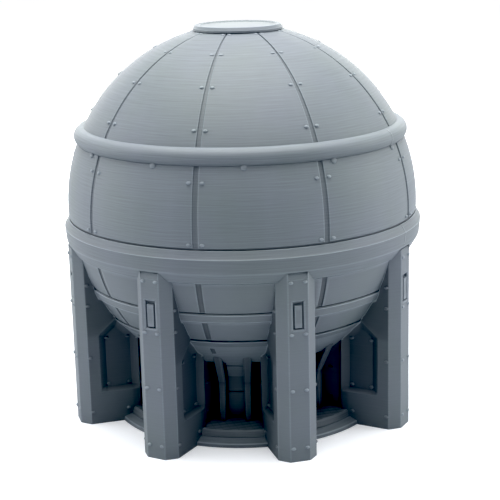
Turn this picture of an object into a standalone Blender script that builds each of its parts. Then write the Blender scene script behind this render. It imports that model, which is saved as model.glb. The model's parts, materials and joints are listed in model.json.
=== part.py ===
"""Scale model of a spherical fuel storage tank on eight radial legs.

A printed tabletop piece, 130 mm across the tank. The tank is a hollow shell dressed
with plates, hoops, a collar and a belt. It stands on a short column ringed with
ribbed piers, on a stepped round plinth, and eight chamfered legs carry it outside.
"""

import math

import bmesh
import bpy
from mathutils import Vector

# Driving dimensions in metres. Azimuths run from the front, -Y, towards +X.
GAP = 0.0003  # clearance between pieces that touch
TANK_RADIUS = 0.065
TANK_CENTRE = 0.0797  # height of the tank's centre above the floor
PLATE = 0.0013  # thickness of the plates laid on the shell
SHELL = 0.0016  # wall of the shell behind them

LEG_COUNT = 8
LEG_OUTER = 0.0661  # from the tank's axis to a leg's outer face
LEG_INNER = 0.0435
LEG_WIDTH = 0.0141
LEG_CHAMFER = 0.00343
LEG_TOP = 0.0671
FIN_WIDTH = 0.0110  # the thinner wall that ties a leg to the column
FIN_LAP = 0.0005  # how far the fin runs into its leg

SLOT_WIDTH = 0.0041
SLOT_BOTTOM = 0.0477
SLOT_TOP = 0.0576
SLOT_DEPTH = 0.0009
BAR_WIDTH = 0.0026
BAR_BOTTOM = 0.0483
BAR_TOP = 0.0557
BAR_SET_BACK = 0.0001  # from the leg's face to the bar's

POCKET_INNER = 0.0438
POCKET_OUTER = 0.0584
POCKET_BOTTOM = 0.0122
POCKET_SHOULDER = 0.0345
POCKET_PEAK = 0.0408
POCKET_DEPTH = 0.0017
POCKET_BEVEL = 0.0026
POCKET_REACH = 0.0005  # how far the pocket's cutter stands out of the flank

GORE_COUNT = 9
FIRST_SEAM = math.radians(10)
SEAM_ANGLE = math.radians(1.25)
SEAM_DEPTH = 0.0007

PLINTH_RADIUS = 0.0508
PLINTH_TREAD = 0.0019
PLINTH_SLOPE = 0.0013  # width of the sloping band inside the plinth's edge
PLINTH_EDGE = 0.0004
PLINTH_JOINT = 0.0027  # top of the lower step
RISER_RADIUS = 0.0475
DECK_RADIUS = 0.0464
DECK_EDGE = 0.0004
DECK_TOP = 0.0052

FLOOR_Z = 0.0282  # flat underside of the tank
CORE_RADIUS = 0.0287
RIB_FACE = 0.0380
RIB_WIDTH = 0.0034
RIB_CHAMFER = 0.0007
RIB_TOP = 0.0360  # before the tank cuts it back
RIB_ANGLE = math.radians(7.2)  # a rib's place either side of its bay's middle
RIB_BEND = 0.0200
RIB_LEAN = 0.5  # metres outwards for each metre up
WEB_FACE = 0.0337
WEB_WIDTH = 0.0070
WEB_BEND = 0.0209

HOOP_LOW = (0.0373, 0.0401)  # bottom and top of each hoop
HOOP_HIGH = (0.0483, 0.0522)
HOOP_PROUD = 0.0010
COURSE_JOINT = 0.0005  # open line between a course and the ring below it
COLLAR_FOOT = 0.06425  # heights of the collar's corners, from the foot up
COLLAR_WAIST = 0.06795
COLLAR_EDGE = 0.07325
COLLAR_HEAD = 0.0760
COLLAR_FOOT_RADIUS = 0.0639
COLLAR_WAIST_RADIUS = 0.0661
COLLAR_RADIUS = 0.06663
COLLAR_LIP = 0.0001  # how proud the collar's head stands

BELT_RADIUS = 0.0583
BELT_Z = 0.1063
BELT_TUBE = 0.00326
BELT_ARC = math.radians(3.25)  # half of the tank's arc that the belt covers

CAP_RADIUS = 0.0163
CAP_DISC = 0.0134
CAP_TOP = 0.1449
CAP_RECESS = 0.0006
CAP_RIM_SLOPE = 0.0003
CAP_BEVEL_WIDTH = 0.0008
CAP_BEVEL_HEIGHT = 0.00115
CAP_UNDERSIDE = 0.1436
CAP_PLUG = 0.01455
PLATE_HEAD = 0.0150  # radius of the hole that the dome plates leave for the cap
SHELL_MOUTH = 0.0120

ENVELOPE_TOP = 0.100  # size of the blank that the legs' heads are cut from
ENVELOPE_RADIUS = 0.0670
CUT_MARGIN = 0.0010  # how far a seam's cutter stands past what it cuts

RING_STEPS = 40
SHELL_STEPS = 32
PLATE_STEPS = 5

SEAT_RADIUS = TANK_RADIUS - PLATE
SHELL_RADIUS = SEAT_RADIUS - GAP
INNER_RADIUS = SHELL_RADIUS - SHELL

PLASTIC = (0.152, 0.176, 0.192)


def clear_scene():
    for item in list(bpy.data.objects):
        bpy.data.objects.remove(item, do_unlink=True)


def make_collection(name):
    collection = bpy.data.collections.new(name)
    bpy.context.scene.collection.children.link(collection)
    return collection


def make_material(name, colour, roughness):
    material = bpy.data.materials.new(name)
    material.use_nodes = True
    shader = material.node_tree.nodes["Principled BSDF"]
    shader.inputs["Base Color"].default_value = (*colour, 1)
    shader.inputs["Roughness"].default_value = roughness
    shader.inputs["Metallic"].default_value = 0
    return material


def place(name, mesh, collection, turn=0.0):
    """Put a mesh in the model under its own name, turned about the tank's axis."""
    item = bpy.data.objects.new(name, mesh)
    item.rotation_euler.z = turn
    collection.objects.link(item)
    return item


def finish(item, material):
    item.data.materials.clear()
    item.data.materials.append(material)
    item.data.shade_smooth()
    item.data.set_sharp_from_angle(angle=math.radians(30))


def make_cutter(item):
    item.hide_render = True
    item.display_type = "WIRE"


def sphere_radius(height, ball):
    """Radius of a ball about the tank's centre, at a height."""
    return math.sqrt(ball ** 2 - (height - TANK_CENTRE) ** 2)


def elevation(height, ball):
    return math.asin((height - TANK_CENTRE) / ball)


def arc(ball, start, end, steps):
    """Points of a ball's outline from one elevation to another."""
    points = []
    for step in range(steps + 1):
        angle = start + (end - start) * step / steps
        points.append((ball * math.cos(angle), TANK_CENTRE + ball * math.sin(angle)))
    return points


def profile_mesh(name, points, closed):
    mesh = bpy.data.meshes.new(name)
    edges = [(i, i + 1) for i in range(len(points) - 1)]
    if closed:
        edges.append((len(points) - 1, 0))
    mesh.from_pydata([(r, 0, z) for r, z in points], edges, [])
    return mesh


def add_screw(item, angle, steps):
    screw = item.modifiers.new("Screw", "SCREW")
    screw.axis = "Z"
    screw.angle = angle
    screw.steps = steps
    screw.render_steps = steps
    screw.use_merge_vertices = True
    screw.merge_threshold = 0.00001
    screw.use_smooth_shade = True


def turned(name, points, collection, steps=RING_STEPS, closed=True):
    """A ring or solid of revolution; its profile runs down the outer side first."""
    item = place(name, profile_mesh(name, points, closed), collection)
    add_screw(item, 2 * math.pi, steps)
    return item


def add_boolean(item, other, operation="DIFFERENCE"):
    boolean = item.modifiers.new(operation.title(), "BOOLEAN")
    boolean.operation = operation
    boolean.object = other
    boolean.solver = "EXACT"


def baked(item):
    """The mesh of an object with its modifiers applied."""
    graph = bpy.context.evaluated_depsgraph_get()
    mesh = bpy.data.meshes.new_from_object(item.evaluated_get(graph))
    return mesh


def block(name, size, centre, collection):
    """A box of the given size, with its place in its mesh."""
    shape = bmesh.new()
    bmesh.ops.create_cube(shape, size=1)
    bmesh.ops.scale(shape, vec=Vector(size), verts=shape.verts)
    bmesh.ops.translate(shape, vec=Vector(centre), verts=shape.verts)
    mesh = bpy.data.meshes.new(name)
    shape.to_mesh(mesh)
    shape.free()
    return place(name, mesh, collection)


def reshape(item, work):
    """Edit an object's mesh with a function that takes its bmesh."""
    shape = bmesh.new()
    shape.from_mesh(item.data)
    work(shape)
    shape.to_mesh(item.data)
    shape.free()


def chamfer_outer_edges(shape, face_x, width):
    """Cut back the two upright edges of the face that looks outwards, at +X."""
    edges = []
    for edge in shape.edges:
        first, second = (vertex.co for vertex in edge.verts)
        upright = abs(first.y - second.y) < 1e-6 and abs(first.z - second.z) > 1e-6
        if upright and abs(first.x - face_x) < 1e-6:
            edges.append(edge)
    bmesh.ops.bevel(shape, geom=edges, offset=width, offset_type="OFFSET", segments=1, affect="EDGES")


def bend_outwards(shape, height, lean):
    """Lean everything above a height outwards, after a cut there."""
    everything = list(shape.verts) + list(shape.edges) + list(shape.faces)
    bmesh.ops.bisect_plane(shape, geom=everything, plane_co=(0, 0, height), plane_no=(0, 0, 1))
    for vertex in shape.verts:
        vertex.co.x += max(0.0, vertex.co.z - height) * lean


def hoop_profile(low, high, clearance=0.0):
    """A hoop's section: a steep band, proud of the tank, with a short bevel below."""
    top = sphere_radius(high, TANK_RADIUS) + 0.6 * HOOP_PROUD + clearance
    lip = high - 0.85 * (high - low)
    edge = sphere_radius(lip, TANK_RADIUS) + HOOP_PROUD + clearance
    foot = sphere_radius(low, TANK_RADIUS) + 0.1 * HOOP_PROUD + clearance
    return [(top, high + clearance), (edge, lip), (foot, low - clearance)]


def collar_profile(clearance=0.0):
    """The collar's outer outline: a bevel, a nearly upright band and a cone."""
    head = (sphere_radius(COLLAR_HEAD, TANK_RADIUS) + COLLAR_LIP, COLLAR_HEAD)
    edge = (COLLAR_RADIUS + clearance, COLLAR_EDGE)
    waist = (COLLAR_WAIST_RADIUS + clearance, COLLAR_WAIST)
    foot = (COLLAR_FOOT_RADIUS + clearance, COLLAR_FOOT - clearance)
    return [head, edge, waist, foot]


def ring_between(low, high, outline):
    """Close an outline that runs downwards with the seat on the shell behind it."""
    start = elevation(low, SEAT_RADIUS)
    end = elevation(high, SEAT_RADIUS)
    steps = max(1, round((end - start) / math.radians(6)))
    return outline + arc(SEAT_RADIUS, start, end, steps)


def envelope(cutters):
    """What the legs and piers are cut back from: the tank's outside plus a gap."""
    ball = TANK_RADIUS + GAP
    low = hoop_profile(*HOOP_LOW, clearance=GAP)
    high = hoop_profile(*HOOP_HIGH, clearance=GAP)
    collar = collar_profile(GAP)
    points = [(0, ENVELOPE_TOP), (ENVELOPE_RADIUS, ENVELOPE_TOP)] + collar[1:]
    points += arc(ball, elevation(COLLAR_FOOT - 5 * GAP, ball), elevation(high[0][1] + GAP, ball), 3)
    points += high
    points += arc(ball, elevation(high[-1][1] - GAP, ball), elevation(low[0][1] + GAP, ball), 2)
    points += low
    floor = FLOOR_Z - GAP
    points += arc(ball, elevation(low[-1][1] - GAP, ball), elevation(floor, ball), 3)
    points.append((0, floor))
    cutter = turned("tank_envelope", points, cutters, closed=False)
    make_cutter(cutter)
    return cutter


def pocket_cutter(side, cutters):
    """A pentagon with sloping sides, sunk into one flank of the first leg."""
    outline = [
        (POCKET_INNER, POCKET_BOTTOM),
        (POCKET_OUTER, POCKET_BOTTOM),
        (POCKET_OUTER, POCKET_SHOULDER),
        ((POCKET_INNER + POCKET_OUTER) / 2, POCKET_PEAK),
        (POCKET_INNER, POCKET_SHOULDER),
    ]
    curve = bpy.data.curves.new("pocket", "CURVE")
    curve.dimensions = "2D"
    curve.fill_mode = "BOTH"
    curve.extrude = POCKET_REACH
    spline = curve.splines.new("POLY")
    spline.points.add(len(outline) - 1)
    for point, (x, z) in zip(spline.points, outline):
        point.co = (x, z, 0, 1)
    spline.use_cyclic_u = True
    source = bpy.data.objects.new("pocket_outline", curve)
    cutters.objects.link(source)
    mesh = baked(source)
    bpy.data.objects.remove(source)

    face = LEG_WIDTH / 2
    middle = Vector(((POCKET_INNER + POCKET_OUTER) / 2, (POCKET_BOTTOM + POCKET_SHOULDER) / 2))
    width = POCKET_OUTER - POCKET_INNER
    height = POCKET_SHOULDER - POCKET_BOTTOM
    cutter = place("pocket_cutter", mesh, cutters)
    shape = bmesh.new()
    shape.from_mesh(mesh)
    bmesh.ops.remove_doubles(shape, verts=shape.verts, dist=0.00001)
    rise = (POCKET_DEPTH + POCKET_REACH) / POCKET_DEPTH
    for vertex in shape.verts:
        deep = vertex.co.z < 0
        # the shallow end stands clear of the flank, on the same slopes
        grow = -POCKET_BEVEL if deep else POCKET_BEVEL * (rise - 1)
        vertex.co.x = middle.x + (vertex.co.x - middle.x) * (1 + 2 * grow / width)
        vertex.co.y = middle.y + (vertex.co.y - middle.y) * (1 + 2 * grow / height)
        depth = -POCKET_DEPTH if deep else POCKET_REACH
        vertex.co = (vertex.co.x, side * (face + depth), vertex.co.y)
    bmesh.ops.recalc_face_normals(shape, faces=shape.faces)
    shape.to_mesh(mesh)
    shape.free()
    make_cutter(cutter)
    return cutter


def fin_blank(cutters):
    """The fin behind a leg, from the leg's inner side to the column."""
    start = CORE_RADIUS + GAP
    end = LEG_INNER + FIN_LAP
    bottom = DECK_TOP + GAP
    size = (end - start, FIN_WIDTH, LEG_TOP - bottom)
    fin = block("fin_blank", size, ((start + end) / 2, 0, (LEG_TOP + bottom) / 2), cutters)
    make_cutter(fin)
    return fin


def leg_mesh(tank, cutters):
    """One leg standing at +X: a chamfered post with a slot, a bar, two pockets and a fin."""
    depth = LEG_OUTER - LEG_INNER
    centre = ((LEG_OUTER + LEG_INNER) / 2, 0, LEG_TOP / 2)
    post = block("leg_blank", (depth, LEG_WIDTH, LEG_TOP), centre, cutters)
    reshape(post, lambda shape: chamfer_outer_edges(shape, LEG_OUTER, LEG_CHAMFER))

    slot_middle = (SLOT_BOTTOM + SLOT_TOP) / 2
    slot_size = (2 * SLOT_DEPTH, SLOT_WIDTH, SLOT_TOP - SLOT_BOTTOM)
    slot = block("slot_cutter", slot_size, (LEG_OUTER, 0, slot_middle), cutters)
    bar_size = (2 * SLOT_DEPTH, BAR_WIDTH, BAR_TOP - BAR_BOTTOM)
    bar_centre = (LEG_OUTER - SLOT_DEPTH - BAR_SET_BACK, 0, (BAR_TOP + BAR_BOTTOM) / 2)
    bar = block("slot_bar", bar_size, bar_centre, cutters)
    add_boolean(post, slot)
    add_boolean(post, bar, "UNION")
    make_cutter(slot)
    make_cutter(bar)
    for side in (-1, 1):
        add_boolean(post, pocket_cutter(side, cutters))
    add_boolean(post, fin_blank(cutters), "UNION")
    add_boolean(post, tank)
    make_cutter(post)
    return baked(post)


def rib_blank(turn, cutters):
    """An upright rib of a pier, bent outwards at its head to meet the tank."""
    height = RIB_TOP - DECK_TOP - GAP
    depth = RIB_FACE - CORE_RADIUS - GAP
    centre = (RIB_FACE - depth / 2, 0, DECK_TOP + GAP + height / 2)
    rib = block("rib_blank", (depth, RIB_WIDTH, height), centre, cutters)
    reshape(rib, lambda shape: chamfer_outer_edges(shape, RIB_FACE, RIB_CHAMFER))
    reshape(rib, lambda shape: bend_outwards(shape, RIB_BEND, RIB_LEAN))
    rib.rotation_euler.z = turn
    make_cutter(rib)
    return rib


def pier_mesh(tank, cutters):
    """One pier at +X: a web between two ribs, under the flat floor of the tank."""
    height = FLOOR_Z - DECK_TOP - 2 * GAP
    depth = WEB_FACE - CORE_RADIUS - GAP
    centre = (WEB_FACE - depth / 2, 0, DECK_TOP + GAP + height / 2)
    web = block("web_blank", (depth, WEB_WIDTH, height), centre, cutters)
    reshape(web, lambda shape: bend_outwards(shape, WEB_BEND, RIB_LEAN))
    for turn in (-RIB_ANGLE, RIB_ANGLE):
        add_boolean(web, rib_blank(turn, cutters), "UNION")
    add_boolean(web, tank)
    make_cutter(web)
    return baked(web)


def repeat(name, mesh, count, first, collection):
    """Stand copies of a mesh that was made at +X around the tank."""
    items = []
    for index in range(count):
        turn = first + 2 * math.pi * index / count - math.pi / 2
        items.append(place(f"{name}_{index + 1}", mesh, collection, turn))
    return items


def make_legs(tank, model, cutters):
    return repeat("leg", leg_mesh(tank, cutters), LEG_COUNT, 0, model)


def make_piers(tank, model, cutters):
    return repeat("pier", pier_mesh(tank, cutters), LEG_COUNT, math.pi / LEG_COUNT, model)


def gather(name, items, collection):
    """Join separate solids into one object, each left where it stands."""
    whole = bmesh.new()
    for item in items:
        mesh = baked(item)
        mesh.transform(item.matrix_basis)
        whole.from_mesh(mesh)
        bpy.data.objects.remove(item)
    mesh = bpy.data.meshes.new(name)
    whole.to_mesh(mesh)
    whole.free()
    joined = place(name, mesh, collection)
    make_cutter(joined)
    return joined


def make_plinth(model, cutters):
    base = [
        (0, PLINTH_JOINT),
        (RISER_RADIUS + GAP, PLINTH_JOINT),
        (PLINTH_RADIUS - PLINTH_SLOPE, PLINTH_TREAD),
        (PLINTH_RADIUS - GAP, PLINTH_TREAD - PLINTH_EDGE),
        (PLINTH_RADIUS, 0),
        (0, 0),
    ]
    deck = [
        (0, DECK_TOP),
        (DECK_RADIUS, DECK_TOP),
        (DECK_RADIUS + DECK_EDGE, DECK_TOP - DECK_EDGE),
        (RISER_RADIUS, PLINTH_JOINT + GAP),
        (0, PLINTH_JOINT + GAP),
    ]
    steps = [
        turned("plinth_base", base, model, closed=False),
        turned("plinth_deck", deck, model, closed=False),
    ]
    depth = LEG_OUTER - LEG_INNER
    slot_size = (depth, LEG_WIDTH + 2 * GAP, 3 * DECK_TOP)
    blank = block("slot_blank", slot_size, (LEG_INNER - GAP + depth / 2, 0, 0), cutters)
    make_cutter(blank)
    slots = gather("leg_slots", repeat("leg_slot", blank.data, LEG_COUNT, 0, cutters), cutters)
    for step in steps:
        add_boolean(step, slots)
    return steps


def make_core(model):
    bottom = DECK_TOP + GAP
    top = FLOOR_Z - GAP
    points = [(0, top), (CORE_RADIUS, top), (CORE_RADIUS, bottom), (0, bottom)]
    return turned("core_column", points, model, SHELL_STEPS, closed=False)


def make_shell(model):
    """The hollow tank wall, with the dished floor at its foot and its top open."""
    step_z = HOOP_LOW[0] - GAP
    rim = math.acos(SHELL_MOUTH / SHELL_RADIUS)
    outer = arc(SHELL_RADIUS, rim, elevation(step_z, SHELL_RADIUS), 11)
    outer += arc(TANK_RADIUS, elevation(step_z, TANK_RADIUS), elevation(FLOOR_Z, TANK_RADIUS), 2)
    outer.append((0, FLOOR_Z))
    floor = FLOOR_Z + SHELL
    inner = [(0, floor)]
    inner += arc(INNER_RADIUS, elevation(floor, INNER_RADIUS), rim, 10)
    return turned("tank_shell", inner + outer, model, SHELL_STEPS, closed=False)


def sector(name, ball, start, end, thickness, angle, turn, steps, collection):
    """A patch of a ball between two elevations, with its thickness inwards."""
    rows = max(2, round((start - end) / math.radians(9)))
    item = place(name, profile_mesh(name, arc(ball, start, end, rows), False), collection, turn)
    add_screw(item, angle, steps)
    solidify = item.modifiers.new("Solidify", "SOLIDIFY")
    solidify.thickness = thickness
    solidify.offset = -1
    return item


def make_plates(name, start, end, model):
    """One course of plates round the tank, with a seam between neighbours."""
    plates = []
    pitch = 2 * math.pi / GORE_COUNT
    for index in range(GORE_COUNT):
        turn = FIRST_SEAM + SEAM_ANGLE / 2 + index * pitch - math.pi / 2
        item = sector(
            f"{name}_{index + 1}", TANK_RADIUS, start, end, PLATE,
            pitch - SEAM_ANGLE, turn, PLATE_STEPS, model,
        )
        plates.append(item)
    return plates


def seam_cutter(cutters):
    """Shallow upright grooves for the two courses under the collar."""
    ball = TANK_RADIUS + CUT_MARGIN
    top = elevation(COLLAR_FOOT + CUT_MARGIN, ball)
    bottom = elevation(HOOP_LOW[1] - CUT_MARGIN, ball)
    items = []
    for index in range(GORE_COUNT):
        turn = FIRST_SEAM - SEAM_ANGLE / 2 + 2 * math.pi * index / GORE_COUNT - math.pi / 2
        items.append(sector(
            f"seam_{index + 1}", ball, top, bottom,
            SEAM_DEPTH + CUT_MARGIN, SEAM_ANGLE, turn, 1, cutters,
        ))
    return gather("bowl_seams", items, cutters)


def make_bowl(model, cutters):
    """The two courses and two hoops between the collar and the tank's floor."""
    seams = seam_cutter(cutters)
    spans = {
        "bowl_course_upper": (HOOP_HIGH[1] + COURSE_JOINT, COLLAR_FOOT - GAP),
        "bowl_course_lower": (HOOP_LOW[1] + COURSE_JOINT, HOOP_HIGH[0] - GAP),
    }
    pieces = []
    for name, (low, high) in spans.items():
        start = elevation(high, TANK_RADIUS)
        end = elevation(low, TANK_RADIUS)
        outline = arc(TANK_RADIUS, start, end, 2)
        course = turned(name, ring_between(low, high, outline), model)
        add_boolean(course, seams)
        pieces.append(course)
    for name, (low, high) in {"hoop_upper": HOOP_HIGH, "hoop_lower": HOOP_LOW}.items():
        pieces.append(turned(name, ring_between(low, high, hoop_profile(low, high)), model))
    return pieces


def make_collar(model):
    outline = collar_profile()
    return turned("collar_ring", ring_between(COLLAR_FOOT, COLLAR_HEAD, outline), model)


def belt_direction():
    return math.atan2(BELT_Z - TANK_CENTRE, BELT_RADIUS)


def make_belt(model):
    """A round tube half sunk into the tank, cut where it meets the shell."""
    outwards = belt_direction()
    reach = math.hypot(BELT_RADIUS, BELT_Z - TANK_CENTRE)
    side = (SEAT_RADIUS ** 2 - reach ** 2 - BELT_TUBE ** 2) / (2 * reach * BELT_TUBE)
    half = math.acos(side)
    steps = 8
    points = []
    for step in range(steps + 1):
        angle = outwards + half - 2 * half * step / steps
        points.append((BELT_RADIUS + BELT_TUBE * math.cos(angle), BELT_Z + BELT_TUBE * math.sin(angle)))
    return turned("belt_ring", points, model)


def make_cap(model):
    """A low round cap with a raised rim, plugged into the shell's open top."""
    seat = TANK_CENTRE + math.sqrt(SHELL_RADIUS ** 2 - SHELL_MOUTH ** 2) + GAP
    disc = CAP_TOP - CAP_RECESS
    points = [
        (0, disc),
        (CAP_DISC, disc),
        (CAP_DISC + CAP_RIM_SLOPE, CAP_TOP),
        (CAP_RADIUS - CAP_BEVEL_WIDTH, CAP_TOP),
        (CAP_RADIUS, CAP_TOP - CAP_BEVEL_HEIGHT),
        (CAP_RADIUS, CAP_UNDERSIDE),
        (CAP_PLUG, CAP_UNDERSIDE),
        (CAP_PLUG, seat),
        (0, seat),
    ]
    return turned("top_cap", points, model, closed=False)


def main():
    clear_scene()
    model = make_collection("fuel_storage_tank")
    cutters = make_collection("cutters")
    plastic = make_material("printed_plastic", PLASTIC, 0.55)

    tank = envelope(cutters)
    belt = belt_direction()
    shoulder = elevation(COLLAR_HEAD + COURSE_JOINT, TANK_RADIUS)
    pieces = make_plinth(model, cutters)
    pieces += make_legs(tank, model, cutters)
    pieces += make_piers(tank, model, cutters)
    pieces.append(make_core(model))
    pieces.append(make_shell(model))
    pieces += make_bowl(model, cutters)
    pieces.append(make_collar(model))
    pieces += make_plates("side_plate", belt - BELT_ARC, shoulder, model)
    pieces.append(make_belt(model))
    pieces += make_plates("dome_plate", math.acos(PLATE_HEAD / TANK_RADIUS), belt + BELT_ARC, model)
    pieces.append(make_cap(model))
    for piece in pieces:
        finish(piece, plastic)


main()
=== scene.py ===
import json

import bmesh
import bpy
import numpy as np
from mathutils import Matrix, Vector

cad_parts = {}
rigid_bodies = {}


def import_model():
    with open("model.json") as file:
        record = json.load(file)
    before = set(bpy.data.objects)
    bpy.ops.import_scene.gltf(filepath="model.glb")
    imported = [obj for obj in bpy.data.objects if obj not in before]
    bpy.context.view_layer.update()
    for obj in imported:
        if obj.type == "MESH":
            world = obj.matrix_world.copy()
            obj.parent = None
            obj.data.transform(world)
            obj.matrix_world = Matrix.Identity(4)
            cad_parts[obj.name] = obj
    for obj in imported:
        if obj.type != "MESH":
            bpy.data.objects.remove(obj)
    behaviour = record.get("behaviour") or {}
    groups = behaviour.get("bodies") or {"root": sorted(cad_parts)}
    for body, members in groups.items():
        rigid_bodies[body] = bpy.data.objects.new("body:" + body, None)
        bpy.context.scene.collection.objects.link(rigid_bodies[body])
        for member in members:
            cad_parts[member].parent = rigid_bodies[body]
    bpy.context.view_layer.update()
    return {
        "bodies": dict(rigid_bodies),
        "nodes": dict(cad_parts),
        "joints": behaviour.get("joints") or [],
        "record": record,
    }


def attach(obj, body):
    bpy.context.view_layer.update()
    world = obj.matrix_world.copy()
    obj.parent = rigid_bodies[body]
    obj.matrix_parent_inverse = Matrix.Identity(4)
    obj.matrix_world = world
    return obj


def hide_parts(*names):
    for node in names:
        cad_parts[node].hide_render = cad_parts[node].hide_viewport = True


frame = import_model()
print("frame loaded,", len(frame["nodes"]), "nodes")

# Lengths below are in millimetres and angles in degrees. Azimuths run from the front, -Y, towards +X.
mm = 0.001

tank = {
    "radius": 65.0,
    "centre": 79.7,  # height of the ball's centre
    "seat": 63.7,  # radius that the plates lie on
    "shell": 63.4, "shellWall": 1.6, "shellTone": 1.15,
    "mouth": 12.0,  # radius of the shell's open top, under the cap
    "floor": 28.2, "floorRadius": 39.6, "floorEdge": 0.3, "seams": 9, "firstSeam": 10.0,
    "clear": 0.08,  # what stands against the tank stays this far off it
}

# the seams between plates: half of the floor's width, the width of the slope beside it and the depth
seam = {
    "half": 0.75, "bevel": 0.3, "depth": 0.38,
    "across": (0, 0.35, 0.7, 0.9, 1.1, 1.4, 2.2),  # over the slope, and the share of the depth left
    "drop": (1, 0.65, 0.32, 0.15, 0.045, 0, 0),
    "narrowest": 0.35,  # share of its width and depth at the top of the ball
    "strip": (0.1, 0.05),  # how much wider and deeper the strip of shell behind a seam is
    "column": 1.5,  # degrees between columns of points, which stay this many slopes off a seam
    "free": 1.6,
}

aroundSteps = 288  # columns of points in a turned piece without seams


# Helpers for shapes


# radius of the ball's outline at a height: sqrt(R^2 - (height - centre)^2)
def ballRadius(height):
    return np.sqrt(tank["radius"] ** 2 - (height - tank["centre"]) ** 2)


# elevation of a height on a ball: asin((height - centre) / R)
def elevationAt(height, ball=tank["radius"]):
    return np.degrees(np.arcsin((height - tank["centre"]) / ball))


# points of a ball's outline between two heights: (R cos e, centre + R sin e) for even steps of e
def ballArc(ball, start, end, steps):
    e = np.radians(np.linspace(elevationAt(start, ball), elevationAt(end, ball), steps + 1))
    return np.stack([ball * np.cos(e), tank["centre"] + ball * np.sin(e)], -1)


# points from a distance to the axis, an azimuth in radians and a height: (r sin a, -r cos a, z)
def aroundAxis(r, a, z):
    return np.stack([r * np.sin(a), -r * np.cos(a), z], -1)


# rounds the corners of an outline. A corner p becomes the curve (1-u)^2 a + 2u(1-u) p + u^2 b, where a and
# b lie on its two sides at the radius, and one more point outside each end holds the flat sides flat
def rounded(corners, radii, closed=True, steps=4, most=0.3, hold=1.5, join=1e-5):
    p = np.asarray(corners, float)
    toBefore, toAfter = np.roll(p, 1, 0) - p, np.roll(p, -1, 0) - p
    before, after = (np.linalg.norm(v, axis=1, keepdims=True) for v in (toBefore, toAfter))
    cut = np.minimum(np.broadcast_to(radii, len(p))[:, None], most * np.minimum(before, after))
    if not closed:
        cut[[0, -1]] = 0
    sides = toBefore / before * cut, toAfter / after * cut
    a, b = (p + side for side in sides)
    u = np.linspace(0, 1, steps + 1)[None, :, None]
    curve = (1 - u) ** 2 * a[:, None] + 2 * u * (1 - u) * p[:, None] + u ** 2 * b[:, None]
    holdA, holdB = ((p + side * hold)[:, None] for side in sides)
    run = np.concatenate([holdA, curve, holdB], 1).reshape(-1, 2)
    apart = np.linalg.norm(np.diff(run, axis=0), axis=1) > join
    return run[np.concatenate([[True], apart])]


# an open profile from corners that each give a distance from the axis, a height and a rounding
def roundedProfile(corners):
    corners = np.array(corners)
    return rounded(corners[:, :2], corners[:, 2], closed=False)


# a rounded box in plan from a start to a face along X, with the corners of the face cut off or not
def boxOutline(start, face, half, radius, cut=0):
    front = [(face, cut - half), (face, half - cut)]
    if cut:
        front = [(face - cut, -half), *front, (face - cut, half)]
    return rounded([(start, -half), *front, (start, half)], radius)


# adds points along an outline so that none of its steps is longer than the limit
def filled(outline, limit, closed=True):
    ends = np.roll(outline, -1, 0) if closed else outline[1:]
    starts = outline if closed else outline[:-1]
    counts = np.maximum(1, np.ceil(np.linalg.norm(ends - starts, axis=1) / limit)).astype(int)
    which = np.repeat(np.arange(len(starts)), counts)
    first = np.repeat(np.cumsum(counts) - counts, counts)
    share = ((np.arange(len(which)) - first) / counts[which])[:, None]
    run = starts[which] * (1 - share) + ends[which] * share
    return run if closed else np.vstack([run, outline[-1:]])


# a surface over a grid: a face joins point (i, j) with (i, j+1), (i+1, j+1) and (i+1, j)
def gridShell(points, wrapRows=False, wrapColumns=True):
    index = np.arange(points.shape[0] * points.shape[1]).reshape(points.shape[:2])
    if wrapRows:
        index = np.vstack([index, index[:1]])
    if wrapColumns:
        index = np.hstack([index, index[:, :1]])
    quads = np.stack([index[:-1, :-1], index[:-1, 1:], index[1:, 1:], index[1:, :-1]], -1)
    return points.reshape(-1, 3), quads.reshape(-1, 4)


# turns points made with their outward side at +X to an azimuth: round Z by the azimuth less 90 degrees
def turned(points, azimuth):
    a = np.radians(azimuth - 90)
    c, s = np.cos(a), np.sin(a)
    return points @ np.array([[c, s, 0], [-s, c, 0], [0, 0, 1]])


# a profile of (radius, height) carried round the axis. inset, of the same rows and columns, draws points in
# towards the ball's centre: their distance d from it becomes d - inset
def turnedShell(profile, azimuths=None, inset=0.0, wrapRows=True):
    even = np.linspace(0, 2 * np.pi, aroundSteps, endpoint=False)
    a = even if azimuths is None else np.radians(azimuths)
    r, z = profile[:, :1] + 0 * a, profile[:, 1:] + 0 * a
    reach = np.hypot(r, z - tank["centre"])
    r, z = r * (1 - inset / reach), z - inset * (z - tank["centre"]) / reach
    return gridShell(aroundAxis(r, a, z), wrapRows)


# low oval domes: base + R cos(t)^0.7 (side cos a + flatness up sin a) + normal H sin t for t from 28 to 90
# degrees, on a foot that is sunk into what carries them
def rivetShell(bases, normals, radius, height, flatness=0.7, sunk=0.12, columns=12, rings=4):
    bases, normals = np.asarray(bases, float), np.asarray(normals, float)
    normals = normals / np.linalg.norm(normals, axis=1, keepdims=True)
    side = np.cross([0.0, 0.0, 1.0], normals) + [1e-9, 0, 0]
    side = side / np.linalg.norm(side, axis=1, keepdims=True)
    up = np.cross(normals, side)
    t = np.concatenate([[0.0, 0.0], np.radians(np.linspace(28, 90, rings))])
    across = np.concatenate([[0], radius * np.cos(t) ** 0.7])
    lift = np.outer(height + np.zeros(len(bases)), np.concatenate([[0], np.sin(t)]))
    lift[:, :2] = -sunk
    a = np.linspace(0, 2 * np.pi, columns, endpoint=False)
    ring = side[:, None] * np.cos(a)[:, None] + flatness * up[:, None] * np.sin(a)[:, None]
    points = bases[:, None, None] + across[:, None, None] * ring[:, None]
    points = points + lift[:, :, None, None] * normals[:, None, None]
    shell, quads = gridShell(points[0])
    offsets = np.arange(len(bases))[:, None, None] * len(shell)
    return points.reshape(-1, 3), (quads[None] + offsets).reshape(-1, 4)


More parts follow.
